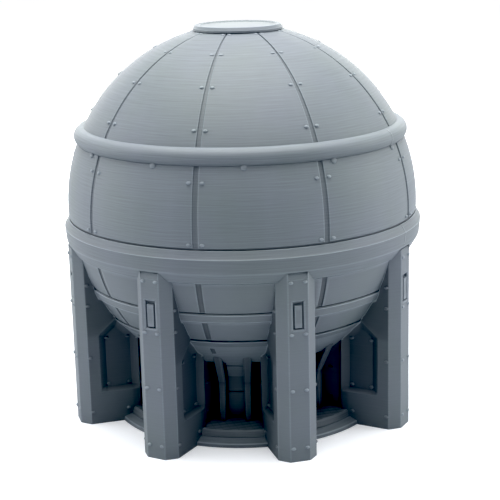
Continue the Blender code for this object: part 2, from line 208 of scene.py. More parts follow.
# how far each point stands out, above 0 on edges and below 0 in corners: half the sum over its edges of
# -normal . (neighbour - point) / length, from a start on and over a rise. It masks the painted highlight on
# edges and the painted shade in corners
def paintedEdgeMask(mesh, edge=(0.04, 0.07), corner=(0.05, 0.14)):
    count = len(mesh.vertices)
    place, normal = np.empty(count * 3), np.empty(count * 3)
    ends = np.empty(len(mesh.edges) * 2, int)
    mesh.vertices.foreach_get("co", place)
    mesh.vertices.foreach_get("normal", normal)
    mesh.edges.foreach_get("vertices", ends)
    place, normal = place.reshape(-1, 3), normal.reshape(-1, 3)
    first, second = ends.reshape(-1, 2).T
    way = place[second] - place[first]
    way /= np.linalg.norm(way, axis=1, keepdims=True)
    paintedEdgeShading = np.bincount(first, -(normal[first] * way).sum(1), count)
    paintedEdgeShading += np.bincount(second, (normal[second] * way).sum(1), count)
    paintedEdgeShading /= 2
    return np.clip((paintedEdgeShading - edge[0]) / edge[1], 0, 1) - np.clip((-paintedEdgeShading - corner[0]) / corner[1], 0, 1)


def addObject(name, data):
    item = bpy.data.objects.new(name, data)
    bpy.context.scene.collection.objects.link(item)
    return item


made = []
weld = 2e-7  # points of a piece within this distance, in metres, are merged


# one piece of the model from closed shells, put in the nodes' place. The shares for its edges say how
# strongly each shell shows the painted highlight on its edges and the painted shade in its corners, and
# tones how light it looks, mostly as painted light and shade
def makePiece(name, shells, material, slotName, nodes=(), sharp=32, paintedEdgeShare=(1,), tones=(1,)):
    sizes = [len(points) for points, _ in shells]
    points = np.vstack([points for points, _ in shells]) * mm
    quads = np.vstack([quads + count for (_, quads), count in zip(shells, np.cumsum([0] + sizes))])
    mesh = bpy.data.meshes.new(name)
    mesh.from_pydata(points.tolist(), [], quads.tolist())
    paintedEdgeShading = np.repeat(np.resize(paintedEdgeShare, len(shells)), sizes).astype(float)
    tone = np.concatenate([np.ones(size) * tones[i % len(tones)] for i, size in enumerate(sizes)])
    for key, values in (("paintedEdgeShading", paintedEdgeShading), ("tone", tone)):
        mesh.attributes.new(key, "FLOAT", "POINT").data.foreach_set("value", values)
    whole = bmesh.new()
    whole.from_mesh(mesh)
    bmesh.ops.remove_doubles(whole, verts=whole.verts, dist=weld)
    bmesh.ops.recalc_face_normals(whole, faces=whole.faces)
    whole.to_mesh(mesh)
    whole.free()
    paintedEdgeShading = np.empty(len(mesh.vertices))
    mesh.attributes["paintedEdgeShading"].data.foreach_get("value", paintedEdgeShading)
    mesh.attributes["paintedEdgeShading"].data.foreach_set("value", paintedEdgeShading * paintedEdgeMask(mesh))
    mesh.materials.append(material)
    mesh.shade_smooth()
    mesh.set_sharp_from_angle(angle=np.radians(sharp))
    piece = addObject(name, mesh)
    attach(piece, "root")
    if nodes:
        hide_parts(*nodes)
    made.append(piece)


# Helpers for materials


class Wire:  # a socket in an expression, whose +, - and * add Math nodes to its material
    def __init__(self, shader, socket):
        self.shader, self.socket = shader, socket

    def math(self, operation, *others):
        inputs = dict(enumerate((self, *others)))
        return self.shader.add("ShaderNodeMath", {"operation": operation}, inputs)

    def __add__(self, other):
        return self.math("ADD", other)

    def __sub__(self, other):
        return self.math("SUBTRACT", other)

    def __rsub__(self, other):
        return self.math("MULTIPLY_ADD", -1.0, other)

    def __mul__(self, other):
        return self.math("MULTIPLY", other)

    __radd__ = __add__


class Shader:  # builds one material, node by node
    def __init__(self, name):
        self.material = bpy.data.materials.new(name)
        self.material.use_nodes = True
        self.tree = self.material.node_tree
        self.surface = self.tree.nodes["Principled BSDF"]
        self.place = self.add("ShaderNodeTexCoord", output="Object")

    def add(self, kind, settings=None, inputs=None, output=0):
        node = self.tree.nodes.new(kind)
        for setting, value in (settings or {}).items():
            setattr(node, setting, value)
        for key, value in (inputs or {}).items():
            self.feed(node.inputs[key], value)
        return Wire(self, node.outputs[output])

    def vector(self, operation, inputs, output="Vector"):
        return self.add("ShaderNodeVectorMath", {"operation": operation}, inputs, output)

    def attribute(self, name):
        return self.add("ShaderNodeAttribute", {"attribute_name": name}, output="Fac")

    def feed(self, socket, value):
        if isinstance(value, Wire):
            self.tree.links.new(value.socket, socket)
        else:
            socket.default_value = value

    def finish(self, **inputs):
        for key, value in inputs.items():
            self.feed(self.surface.inputs[key.replace("_", " ")], value)
        return self.material


plastic = {
    "colour": (0.152, 0.176, 0.195),
    "green": (0.995, 1.012, 0.98),  # slow changes of tint go between these two
    "blue": (1.005, 0.988, 1.03), "roughness": 0.60,
    "streak": (14, 14, 0.42),  # sizes of the noises along X, Y and Z
    # the long upright noise paints soft upright bands of sheen, a painted reflection
    "broad": (40, 40, 1.5), "sheenBand": (7, 7, 140), "cloud": (28, 28, 28),
    "streakStep": 0.36,  # fine streaks are the noise less the noise this far above
    "streakShares": (0.55, 0.12, 0.44),  # of fine and broad streaks, and what makes their mean a half
    "streakDepth": 0.03, "streakShade": 0.48, "sheenBandShade": 0.10, "cloudShade": 0.12,
    # edges are lightened as a painted highlight and corners darkened as painted shade
    "cloudRoughness": 0.12, "edgeHighlight": 0.6, "cornerShade": 0.2,
    "seamEdge": (0.22, 0.08),  # depths under the ball where a seam is dark and light
    # the seams' floors are darkened by this share, as painted shade
    "seamShade": 0.32,
    "grid": (2.6, 0.6, 5.15),  # the deck's grooves: pitch, width, and the height above which they lie
    "gridCross": 0.3,  # strength of those along Y
    "gridDepth": 0.2, "gridDark": 0.25,
    "scar": 44.0,  # azimuth of the line that the printer's nozzle leaves where its rounds start
    "scarWidth": (0.45, 1.2),  # half of its width, and how far it wavers
    "scarDepth": 0.2, "scarShade": 0.10,
}


# noise of the given sizes in mm along X, Y and Z, read that many mm further up
def grain(shader, sizes, detail=2.0, rise=0.0):
    scale, shift = tuple(1 / (size * mm) for size in sizes), (0.0, 0.0, rise / sizes[2])
    spread = shader.vector("MULTIPLY_ADD", {0: shader.place, 1: scale, 2: shift})
    return shader.add("ShaderNodeTexNoise", inputs={"Vector": spread, "Scale": 1.0, "Detail": detail})


# printed plastic, with level streaks as a bump and in its shade, and a slow change of tint. The shade is
# tone (1 + streaks) + clouds + bands of sheen, times a factor for edges, corners, seams, scar and grid. The
# tone holds painted light and shade, the bands of sheen are a painted reflection, the edges' factor is a
# painted highlight, and the corners' and seams' factors are painted shade
def plasticMaterial(name, tint=1.0, roughness=0.0, lines=1.0, grid=False, seams=0.0, scar=False):
    shader = Shader(name)
    fine, above = (grain(shader, plastic["streak"], rise=rise) for rise in (0.0, plastic["streakStep"]))
    broad, sheenBand = (grain(shader, plastic[key]) for key in ("broad", "sheenBand"))
    clouds = grain(shader, plastic["cloud"], 3.0)
    fineShare, broadShare, base = plastic["streakShares"]
    streaks = (fine - above) * fineShare + broad * broadShare + base
    relief = streaks * (plastic["streakDepth"] * lines)
    # the piece's painted highlight on edges and painted shade in corners, and its tone, which holds painted
    # light and shade
    paintedEdgeShading, given = shader.attribute("paintedEdgeShading"), shader.attribute("tone")
    edge, corner = paintedEdgeShading.math("MAXIMUM", 0.0), (0 - paintedEdgeShading).math("MAXIMUM", 0.0)
    shade = given * (1 + (streaks - 0.5) * (plastic["streakShade"] * lines))
    shade = shade + (clouds - 0.5) * plastic["cloudShade"]
    # painted reflection: soft upright bands of sheen
    shade = shade + (sheenBand - 0.5) * (plastic["sheenBandShade"] * lines)
    # painted highlight on edges and painted shade in corners
    shade = shade * (1 + edge * (fine + 0.5) * plastic["edgeHighlight"]) * (1 - corner * plastic["cornerShade"])
    # painted shade in the seams' floors
    if seams:
        shade = shade * (1 - seamFloor(shader) * (plastic["seamShade"] * seams))
    if scar:
        mark = nozzleScar(shader, fine)
        relief = relief + mark * plastic["scarDepth"]
        shade = shade * (1 + mark * plastic["scarShade"])
    if grid:
        lattice = deckGrid(shader)
        relief = relief - lattice * plastic["gridDepth"]
        shade = shade * (1 - lattice * plastic["gridDark"])
    heights = {"Strength": 1.0, "Distance": 1.0, "Height": relief * mm}
    bump = shader.add("ShaderNodeBump", inputs=heights, output="Normal")
    green, blue = ((*np.multiply(plastic["colour"], plastic[end]) * tint, 1) for end in ("green", "blue"))
    ends = {0: clouds * 3 - 1, 6: green, 7: blue}
    colour = shader.add("ShaderNodeMix", {"data_type": "RGBA"}, ends, output=2)
    tone = shader.vector("SCALE", {0: colour, "Scale": shade})
    rough = plastic["roughness"] + roughness + (clouds - 0.5) * plastic["cloudRoughness"]
    return shader.finish(Base_Color=tone, Roughness=rough, Normal=bump)


# 1 where a point lies deeper than a seam's edge under the ball's surface, 0 on that surface: where the
# seams' floors take their painted shade
def seamFloor(shader):
    reach = shader.vector("DISTANCE", {0: shader.place, 1: (0, 0, tank["centre"] * mm)}, "Value")
    low, high = ((tank["radius"] - depth) * mm for depth in plastic["seamEdge"])
    ends = {"Value": reach, "From Min": low, "From Max": high}
    return 1 - shader.add("ShaderNodeMapRange", inputs=ends)


# a raised line up the azimuth of the scar: 1 - distance / width, broken up by the streaks
def nozzleScar(shader, fine):
    a, (width, waver) = np.radians(plastic["scar"]), plastic["scarWidth"]
    ways = ((np.cos(a), np.sin(a), 0), (np.sin(a), -np.cos(a), 0))
    across, towards = (shader.vector("DOT_PRODUCT", {0: shader.place, 1: way}, "Value") for way in ways)
    bent = across + (fine - 0.5) * (waver * mm)
    near = 1 - bent.math("ABSOLUTE") * (1 / (width * mm))
    return near.math("MAXIMUM", 0.0) * towards.math("GREATER_THAN", 0.0)


# a square grid of shallow grooves on the deck's top: 1 where the nearest line is close, 0 elsewhere
def deckGrid(shader):
    pitch, width, above = (length * mm for length in plastic["grid"])
    x, y, up = (shader.add("ShaderNodeSeparateXYZ", None, {0: shader.place}, axis) for axis in "XYZ")
    rows, columns = (way.math("PINGPONG", pitch / 2).math("LESS_THAN", width / 2) for way in (y, x))
    return rows.math("MAXIMUM", columns * plastic["gridCross"]) * up.math("GREATER_THAN", above)


tankPlastic = plasticMaterial("tankPlastic", seams=1.0)
bowlPlastic = plasticMaterial("bowlPlastic", lines=0.3, seams=1.3)
ringPlastic = plasticMaterial("ringPlastic", seams=1.0, scar=True)
legPlastic = plasticMaterial("legPlastic", tint=0.97, roughness=0.03, lines=0.3)
pierPlastic = plasticMaterial("pierPlastic", tint=0.92, roughness=0.06, lines=0.4)
plinthPlastic = plasticMaterial("plinthPlastic", tint=(0.95, 0.95, 0.97), roughness=0.05, lines=0.9)
deckPlastic = plasticMaterial("deckPlastic", tint=(0.98, 0.97, 0.98), roughness=0.08, lines=0.9, grid=True)
capPlastic = plasticMaterial("capPlastic", tint=1.04, roughness=-0.04, lines=0.4)
print("materials made")


# The tank: shell, plates, courses, rings and cap

hoops = {
    "low": (37.3, 37.3, 40.1),  # bottom, lip and top of each hoop
    "high": (48.3, 48.9, 52.2),
    "clear": 0.02,  # between the lower hoop and the shell's step under it
    "bevel": 0.45,  # of its top edge
    "proud": (0.6, 0.95, 0.1),  # of the tank, below that edge, at the lip and at the bottom
    "joint": {"low": 0.4, "high": 0.3},  # width of the dark line above each hoop
    "jointDepth": 0.38,
    "tongue": (0.02, 0.3),  # how far above the hoop that line's floor starts, and above the line ends
    "edges": (0.12, 0.25, 0.05),  # rounding of the top's inner edge, the next ones and the bottom
}


# a hoop's outer corners: inner end of the top bevel, its outer end, the lip and the bottom
def hoopCorners(bottom, lip, top):
    below, (high, low, foot) = top - hoops["bevel"], hoops["proud"]
    corners = [[ballRadius(below) + high - hoops["bevel"], top], [ballRadius(below) + high, below]]
    if lip > bottom:
        corners.append([ballRadius(lip) + low, lip])
    return np.array(corners + [[ballRadius(bottom) + foot, bottom]])


# the corners behind a hoop or the collar: up along the seat, and a tongue that floors the joint above it
def backCorners(bottom, top, joint, steps):
    seat, floor = tank["seat"], tank["radius"] - hoops["jointDepth"]
    start, past = hoops["tongue"]
    over = top + joint + past
    return np.vstack([ballArc(seat, bottom, over, steps), ballArc(floor, over, top + start, 2)])


collar = {
    "head": 76.0, "joint": 0.62, "headProud": 0.1,
    "ledge": (66.28, 73.5),  # radius and height of each corner
    "edge": (66.63, 73.2), "waist": (66.1, 67.95), "foot": (63.9, 64.25),
    "edges": (0.2, 0.15, 0.15, 0.45, 0.2),  # rounding of the corners from the head to the foot
}

belt = {
    "ring": 58.3,  # radius and height of the tube's middle line
    "height": 106.3, "tube": 3.26, "steps": 48, "fade": 0.5, "topStart": 0.4,
    # a painted highlight along the tube's top and painted shade under it
    "topHighlight": 0.12, "underShade": 0.15,
}
beltElevation = np.degrees(np.arctan2(belt["height"] - tank["centre"], belt["ring"]))


def seamAngles():
    return tank["firstSeam"] + 360 / tank["seams"] * np.arange(tank["seams"])


# how far each azimuth lies from the nearest seam, in mm at a radius
def seamDistance(azimuths, radius):
    apart = (azimuths[None] - seamAngles()[:, None] + 180) % 360 - 180
    return np.min(np.abs(apart), axis=0) * np.radians(radius)


# the azimuths for a turned piece with seams: even steps, and more where a seam's floor and walls are
def seamAzimuths(radius=tank["radius"]):
    walls = seam["half"] + seam["bevel"] * np.array(seam["across"][:-1])
    walls = np.concatenate([-walls[::-1], [0], walls]) / np.radians(radius)
    even = np.arange(0, 360, seam["column"])
    clear = seamDistance(even, radius) > seam["half"] + seam["free"] * seam["bevel"]
    return np.sort(np.concatenate([even[clear], (seamAngles()[:, None] + walls).ravel()]) % 360)


# depth of a seam at a distance from its middle
def seamDrop(distance):
    across = seam["half"] + seam["bevel"] * np.array(seam["across"])
    return seam["depth"] * np.interp(distance, across, seam["drop"])


# short marks in the dish under the lower hoop, in line with the seams, sunk and darkened as painted shade
dishMark = {
    "ends": (33.2, 36.2),
    "slope": 0.4,  # height over which each end runs out
    "half": 0.8,  # of its width, at this distance from the axis
    "distance": 48.0, "depth": 0.4, "dark": 0.35,
}


# how deep each point of the shell is sunk, and how far it lies in a mark. A raised strip closes each seam
def shellInset(profile, azimuths, step):
    radius, height = profile.T
    (low, high), slope = dishMark["ends"], dishMark["slope"]
    marked = (height < step) & (radius > tank["floorRadius"])
    marked = marked * np.clip((height - low) / slope, 0, 1) * np.clip((high - height) / slope, 0, 1)
    marked = marked[:, None] * (seamDistance(azimuths, dishMark["distance"]) < dishMark["half"])
    reach = np.hypot(radius, height - tank["centre"])
    outside = (height > step) & (reach > tank["shell"] - tank["shellWall"] / 2)
    wider, deeper = seam["strip"]
    strip = outside[:, None] * (seamDistance(azimuths, tank["radius"]) < seam["half"] + wider)
    raised = tank["radius"] - seam["depth"] - deeper - tank["shell"]
    return dishMark["depth"] * marked - raised * strip, marked


def makeShell():
    ball, floor, wall = tank["shell"], tank["floor"], tank["shellWall"]
    inner, rise = ball - wall, np.sqrt(ball ** 2 - tank["mouth"] ** 2)
    step = hoops["low"][0] - hoops["clear"]
    outer = ballArc(ball, tank["centre"] + rise, step, 60)
    dish = ballArc(tank["radius"], step, floor, 30)
    edge = rounded([dish[-2], dish[-1], [0, floor]], tank["floorEdge"], closed=False)
    inside = ballArc(inner, floor + wall, tank["centre"] + rise * inner / ball, 30)
    profile = np.vstack([outer, dish[:-2], edge, [[0, floor + wall]], inside])
    azimuths = seamAzimuths()
    inset, marked = shellInset(profile, azimuths, step)
    shell = turnedShell(profile, azimuths, inset)
    # the marks are darkened as painted shade
    tone = (tank["shellTone"] * (1 - dishMark["dark"] * marked)).ravel()
    makePiece("tankShell", [shell], tankPlastic, "tank_plastic", ["tank_shell"], paintedEdgeShare=(0.2,), tones=(tone,))


plates = {
    "edge": (0.25, 0.3),  # width and depth of the slope at a plate's lower and upper edges
    "row": 1.8,  # degrees between rows of points
    "columns": 28,
    "underBelt": (2.65, 2.3),  # degrees from the belt's middle to the plates below and above it
    "hole": 15.0,  # radius left free for the cap
    # the side plates are lightened against the dome's, as painted light
    "tones": (1.05, 1.0),  # of the side and the dome
}


# how a plate falls off towards two opposite edges: distances from the first, shares of the length to add to
# them, and drops
def plateSteps(count, width, depth):
    across, fall = width * np.array(seam["across"]), depth * np.array(seam["drop"])
    between, end = np.linspace(0, 1, count + 2)[1:-1], across[-1]
    near = np.concatenate([[0], across, 0 * between + end, 2 * end - across[::-1], [2 * end]])
    share = np.concatenate([0 * across, [0], between, [1], 0 * across + 1])
    drop = np.concatenate([[depth], fall, 0 * between, fall[::-1], [depth]])
    return near, share, drop


# a plate between two elevations and two azimuths: rho = radius - the greater of the drops towards its seams
# and towards its other edges, with the outermost points on the seat
def plateShell(low, high, first, last):
    degree = np.degrees(1 / tank["radius"])
    nearV, shareV, dropV = plateSteps(round((high - low) / plates["row"]), *plates["edge"])
    e = np.radians(low + nearV * degree + shareV * (high - low - nearV[-1] * degree))[:, None]
    nearU, shareU, dropU = plateSteps(plates["columns"], seam["bevel"], seam["depth"])
    narrow = seam["narrowest"] + (1 - seam["narrowest"]) * np.cos(e)
    k = degree / np.cos(e) * narrow
    a = np.radians(first + nearU * k + shareU * (last - first - nearU[-1] * k))
    rho = tank["radius"] - np.maximum(dropV[:, None], dropU * narrow)
    rho[[0, -1]] = rho[:, [0, -1]] = tank["seat"]
    sheets = []
    for reach in (rho, 0 * rho + tank["seat"]):
        points = aroundAxis(reach * np.cos(e), a, tank["centre"] + reach * np.sin(e))
        sheets.append(gridShell(points, wrapColumns=False))
    (front, quads), (back, _) = sheets
    return np.vstack([front, back]), np.vstack([quads, quads[:, ::-1] + len(front)])


def makePlates():
    below, above = plates["underBelt"]
    top = np.degrees(np.arccos(plates["hole"] / tank["radius"]))
    spans = {
        "side": (elevationAt(collar["head"] + collar["joint"]), beltElevation - below),
        "dome": (beltElevation + above, top),
    }
    pitch, half = 360 / tank["seams"], np.degrees(seam["half"] / tank["radius"])
    for (course, (low, high)), tone in zip(spans.items(), plates["tones"]):
        for index in range(tank["seams"]):
            first = tank["firstSeam"] + index * pitch + half
            shell = plateShell(low, high, first, first + pitch - 2 * half)
            node = f"{course}_plate_{index + 1}"
            look = {"paintedEdgeShare": (0.4,), "tones": (tone,)}
            makePiece(f"{course}Plate{index + 1}", [shell], tankPlastic, "tank_plastic", [node], **look)


# the courses: how far each ends below the ring over it, and the rounding of its lower edge
bowl = {"short": {"Upper": 0.3, "Lower": 0.05}, "edge": 0.3}


def makeCourses():
    ball, seat = tank["radius"], tank["seat"]
    spans = {
        "Upper": (hoops["high"][2] + hoops["joint"]["high"], collar["foot"][1]),
        "Lower": (hoops["low"][2] + hoops["joint"]["low"], hoops["high"][0]),
    }
    for name, (low, over) in spans.items():
        high = over - bowl["short"][name]
        radius = ballRadius((low + high) / 2)
        azimuths = seamAzimuths(radius)
        front, back = ballArc(ball, high, low, 10), ballArc(seat, low, high, 4)
        corner = rounded([front[-2], front[-1], back[0], back[1]], [0, bowl["edge"], 0, 0], closed=False)
        profile = np.vstack([front[:-2], corner, back[2:]])
        reach = np.hypot(profile[:, 0], profile[:, 1] - tank["centre"])
        outer = np.clip((reach - seat) / (ball - seat), 0, 1)
        shell = turnedShell(profile, azimuths, outer[:, None] * seamDrop(seamDistance(azimuths, radius)))
        # the courses under the tank are darker, as painted shade
        node, look = "bowl_course_" + name.lower(), {"paintedEdgeShare": (0.5,), "tones": (0.91,)}
        makePiece("bowlCourse" + name, [shell], bowlPlastic, "tank_plastic", [node], **look)


def makeHoops():
    for name, key in (("Upper", "high"), ("Lower", "low")):
        bottom, _, top = hoops[key]
        outer = hoopCorners(*hoops[key])
        corners = np.vstack([outer, backCorners(bottom, top, hoops["joint"][key], 2)])
        first, next, last = hoops["edges"]
        radii = [first] + [next] * (len(outer) - 2) + [last] + [0] * (len(corners) - len(outer))
        shell = turnedShell(rounded(corners, radii))
        # the hoops are darker, as painted shade
        node, look = "hoop_" + name.lower(), {"paintedEdgeShare": (1.5,), "tones": (0.9,)}
        makePiece("hoop" + name, [shell], ringPlastic, "ring_plastic", [node], **look)


def makeCollar():
    head = [ballRadius(collar["head"]) + collar["headProud"], collar["head"]]
    outer = [head] + [collar[key] for key in ("ledge", "edge", "waist", "foot")]
    corners = np.vstack([outer, backCorners(collar["foot"][1], collar["head"], collar["joint"], 4)])
    radii = [*collar["edges"]] + [0] * (len(corners) - len(outer))
    shell = turnedShell(rounded(corners, radii))
    # the collar is a little darker, as painted shade
    makePiece("collarRing", [shell], ringPlastic, "ring_plastic", ["collar_ring"], tones=(0.95,))


# the belt's tube: (ring + tube cos t, height + tube sin t) from where it leaves the seat to where it comes
# back, with a tone of 1 + the top's share (sin t - topStart) / fade above, a painted highlight along its
# top, and 1 + the underside's share sin t / fade below, painted shade under it
def makeBelt():
    seat, tube = tank["seat"], belt["tube"]
    reach = np.hypot(belt["ring"], belt["height"] - tank["centre"])
    half = np.arccos((seat ** 2 - reach ** 2 - tube ** 2) / (2 * reach * tube))
    t = np.radians(beltElevation) + half * np.linspace(1, -1, belt["steps"] + 1)
    profile = np.stack([belt["ring"] + tube * np.cos(t), belt["height"] + tube * np.sin(t)], -1)
    light = np.clip((np.sin(t) - belt["topStart"]) / belt["fade"], 0, 1)
    dark = np.clip(-np.sin(t) / belt["fade"], 0, 1)
    tone = np.repeat(1 + belt["topHighlight"] * light - belt["underShade"] * dark, aroundSteps)
    shell = turnedShell(profile)
    makePiece("beltRing", [shell], ringPlastic, "ring_plastic", ["belt_ring"], tones=(tone,))


cap = {
    "radius": 16.3, "disc": 13.4,
    "rim": 0.7,  # width of the slope from the disc to the rim
    "top": 144.9, "recess": 0.45,
    "bevel": (0.8, 1.15),  # width and height of the slope outside the rim
    "underside": 142.95, "plug": 15.7,
    "clear": 0.3,  # between the plug and the shell's mouth
}


def makeCap():
    seat = tank["centre"] + np.sqrt(tank["shell"] ** 2 - tank["mouth"] ** 2) + cap["clear"]
    disc, top = cap["top"] - cap["recess"], cap["top"]
    width, height = cap["bevel"]
    profile = roundedProfile([
        (0, disc, 0), (cap["disc"], disc, 0.15), (cap["disc"] + cap["rim"], top, 0.12),
        (cap["radius"] - width, top, 0.2), (cap["radius"], top - height, 0.2),
        (cap["radius"], cap["underside"], 0.15), (cap["plug"], cap["underside"], 0),
        (cap["plug"], seat, 0.2), (0, seat, 0),
    ])
    makePiece("topCap", [turnedShell(profile, wrapRows=False)], capPlastic, "cap_plastic", ["top_cap"])


# pairs of rivets beside each seam, by elevation and distance from the seam's middle
seamRivets = {
    "elevations": (74.9, 61.8, 47.3, 32.4, 16.7, -1.6),
    "offsets": (1.2, 1.64, 1.88, 1.98, 2.33, 2.33), "radius": 0.86,
    "heights": (0.25, 0.32, 0.45, 0.55, 0.6, 0.55),
}

beltRivets = {"count": 12, "first": 15.0, "elevation": 21.3, "size": (1.2, 0.55)}


# rivets on the ball at elevations and azimuths in radians: base = centre + R normal
def tankRivetShell(e, a, *size, **form):
    normals = aroundAxis(np.cos(e), a, np.sin(e) + 0 * a).reshape(-1, 3)
    return rivetShell(normals * tank["radius"] + [0, 0, tank["centre"]], normals, *size, **form)


def makeTankRivets():
    e = np.radians(seamRivets["elevations"])
    sideways = np.array(seamRivets["offsets"]) / (tank["radius"] * np.cos(e))
    a = np.radians(seamAngles())[:, None, None] + sideways[:, None] * np.array([-1, 1])
    heights = (np.array(seamRivets["heights"])[:, None] + 0 * a).ravel()
    shell = tankRivetShell(e[:, None] + 0 * a, a, seamRivets["radius"], heights)
    # the seams' rivets are lightened as a painted highlight
    makePiece("seamRivets", [shell], tankPlastic, "tank_plastic", sharp=50, paintedEdgeShare=(0.4,), tones=(1.15,))

    a = np.radians(beltRivets["first"] + 360 / beltRivets["count"] * np.arange(beltRivets["count"]))
    e = np.radians(beltRivets["elevation"])
    shell = tankRivetShell(e, a, *beltRivets["size"], flatness=1, sunk=0.2)
    makePiece("beltRivets", [shell], ringPlastic, "ring_plastic", sharp=50, paintedEdgeShare=(0.3,))


makeShell()
makePlates()
makeCourses()
makeHoops()
makeCollar()
makeBelt()
makeCap()
makeTankRivets()
print("tank made")


# What carries it: legs, piers, column and plinth


# the height of the tank's underside over each distance from its axis, less the clearance
def undersideHeight(radius):
    low, high = hoopCorners(*hoops["low"])[:0:-1], hoopCorners(*hoops["high"])[:0:-1]
    spans = ((tank["floor"], low[0, 1]), (low[-1, 1], high[0, 1]), (high[-1, 1], collar["foot"][1]))
    dish, middle, upper = (ballArc(tank["radius"], start, end, 8) for start, end in spans)
    middle = middle[middle[:, 0] > low[-1, 0]]
    upper = upper[(upper[:, 0] > high[-1, 0]) & (upper[:, 0] < collar["foot"][0])]
    outline = np.vstack([dish, low, middle, high, upper, collar["foot"], collar["waist"], collar["edge"]])
    return np.interp(radius, outline[:, 0], outline[:, 1]) - tank["clear"]


# the radii where that outline has its corners, and just beside each hoop, for columns of points
def undersideCorners():
    low, high = hoopCorners(*hoops["low"])[1:, 0], hoopCorners(*hoops["high"])[1:, 0]
    beside = np.array([low[0], high[0]]) + 0.03
    return np.concatenate([low, high, beside, [collar["foot"][0], tank["floorRadius"]]])


leg = {
    "count": 8, "outer": 66.1, "inner": 43.5, "width": 14.1, "chamfer": 3.43,
    "top": 67.45, "rounding": 0.35,
    "fin": 11.0,  # width of the thinner wall behind the leg
    "finStart": 29.0, "finFoot": 5.5,
    "finLap": 0.5,  # how far it runs into the leg
    "finRows": (0, 0.02, 0.3, 0.6, 0.9, 1),  # shares of its height
    "brow": (65.2, 0.4),  # height where the face starts to lean back, and how far it leans at the top
    "lip": 0.5,  # height of the paler edge where a flank meets the tank
    # the flanks and fins are darkened as painted shade, the flanks more above and behind the pockets and in
    # the pockets' floors
    "lipTone": 1.9, "flankTone": 0.8,
    "highShade": 0.24,  # how much darker the flanks are above their pockets
    "innerShade": 0.15,  # how much darker they are behind the pockets' floors
    "finTone": 0.8,
    "sunkShade": 0.3,  # how much darker the pockets' floors are than the flanks
}

slot = {
    "frame": (4.9, 47.2, 58.0),  # width, bottom and top of the bevelled frame
    "mouth": (3.9, 47.7, 57.7),
    "groove": (3.6, 47.95, 57.05),  # where the floor of the groove starts
    "foot": (2.75, 48.15, 56.35),  # where the bar's walls start
    "bar": (2.5, 48.3, 56.1),
    "depths": (0.2, 1.1, 0.1),  # of the frame's inner edge, the groove's floor and the bar
}
slotEdges = [slot[key] for key in ("frame", "mouth", "groove", "foot", "bar")]

pocket = {
    "inner": 43.8, "outer": 58.4, "bottom": 12.2, "shoulder": 34.5, "peak": 40.8,
    "depth": 1.7, "sideBevel": 2.7, "footBevel": 1.4, "roofBevel": 2.6,
}

# a leg's points: the longest step round it, how far off an edge those are that hold it, and heights of rows
legPoints = {
    "step": 0.7, "besideSlot": 0.2, "besidePocket": 0.25,
    "foot": (0, 0.15, 0.4, 0.9, 6),
    "floorRows": 8,  # over the pocket's floor
    "underRoof": (0.6, 0.3),  # below the slope of the pocket's roof
    "ends": (1.2, 0.02),  # below the shoulder, beside the pocket, and the least step under the roof
    "underSlot": (40, 44), "overSlot": (61, 64),
    "head": (0.9, 0.7, 0.3, 0.1, 0),  # below the top
}

# a leg's rivets in its own frame: distance from the axis, sideways, height; the normal is X or Y
legRivets = {
    "face": [(66.1, 2.5, z) for z in (64.35, 46.0, 25.9, 4.95)],
    "strip": [(61.7, 7.05, z) for z in (53.75, 46.0, 25.9, 4.8)] + [(48.2, 7.05, 5.0)],
    "panel": [(x, 5.35, z) for x in (55.2, 47.4) for z in (32.7, 14.8)],
    "fin": [(38.9, 5.5, z) for z in (20.3, 9.2)], "radius": 0.84, "height": 0.56,
    # rivets on the face are lightened as a painted highlight, and those on the flanks and fins darkened as
    # painted shade
    "tones": {"face": 1.15, "strip": 0.7, "panel": 0.6, "fin": 0.5},
}


# distance from the nearer end of the pocket, inwards
def pocketInwards(x):
    return np.minimum(pocket["outer"] - x, x - pocket["inner"])


# height of the pocket's pointed roof over each distance from the axis
def pocketRoof(x):
    slope = (pocket["peak"] - pocket["shoulder"]) / (pocket["outer"] - pocket["inner"]) * 2
    return pocket["shoulder"] + slope * np.clip(pocketInwards(x), 0, None), slope


# how far a flank is sunk: the depth times the least distance to a side of the pocket over its bevel's width
def pocketDepth(x, z):
    roof, slope = pocketRoof(x)
    toRoof = (roof - z) / np.hypot(1, slope) / pocket["roofBevel"]
    toSide = pocketInwards(x) / pocket["sideBevel"]
    toFoot = (z - pocket["bottom"]) / pocket["footBevel"]
    return pocket["depth"] * np.clip(np.minimum(np.minimum(toRoof, toSide), toFoot), 0, 1)


# how far the front is sunk: between two nested rectangles the depth goes evenly from one value to the next
def slotDepth(y, z):
    frame, mouth, groove, foot, bar = slotEdges
    edge, floor, top = slot["depths"]
    steps = ((frame, mouth, edge), (mouth, groove, floor - edge), (foot, bar, top - floor))
    depth = 0 * y
    for (w0, b0, t0), (w1, b1, t1), sunk in steps:
        insets = [(w0 / 2 - np.abs(y)) / (w0 - w1) * 2, (z - b0) / (b1 - b0), (t0 - z) / (t0 - t1)]
        depth = depth + sunk * np.clip(np.min(insets, axis=0), 0, 1)
    return depth


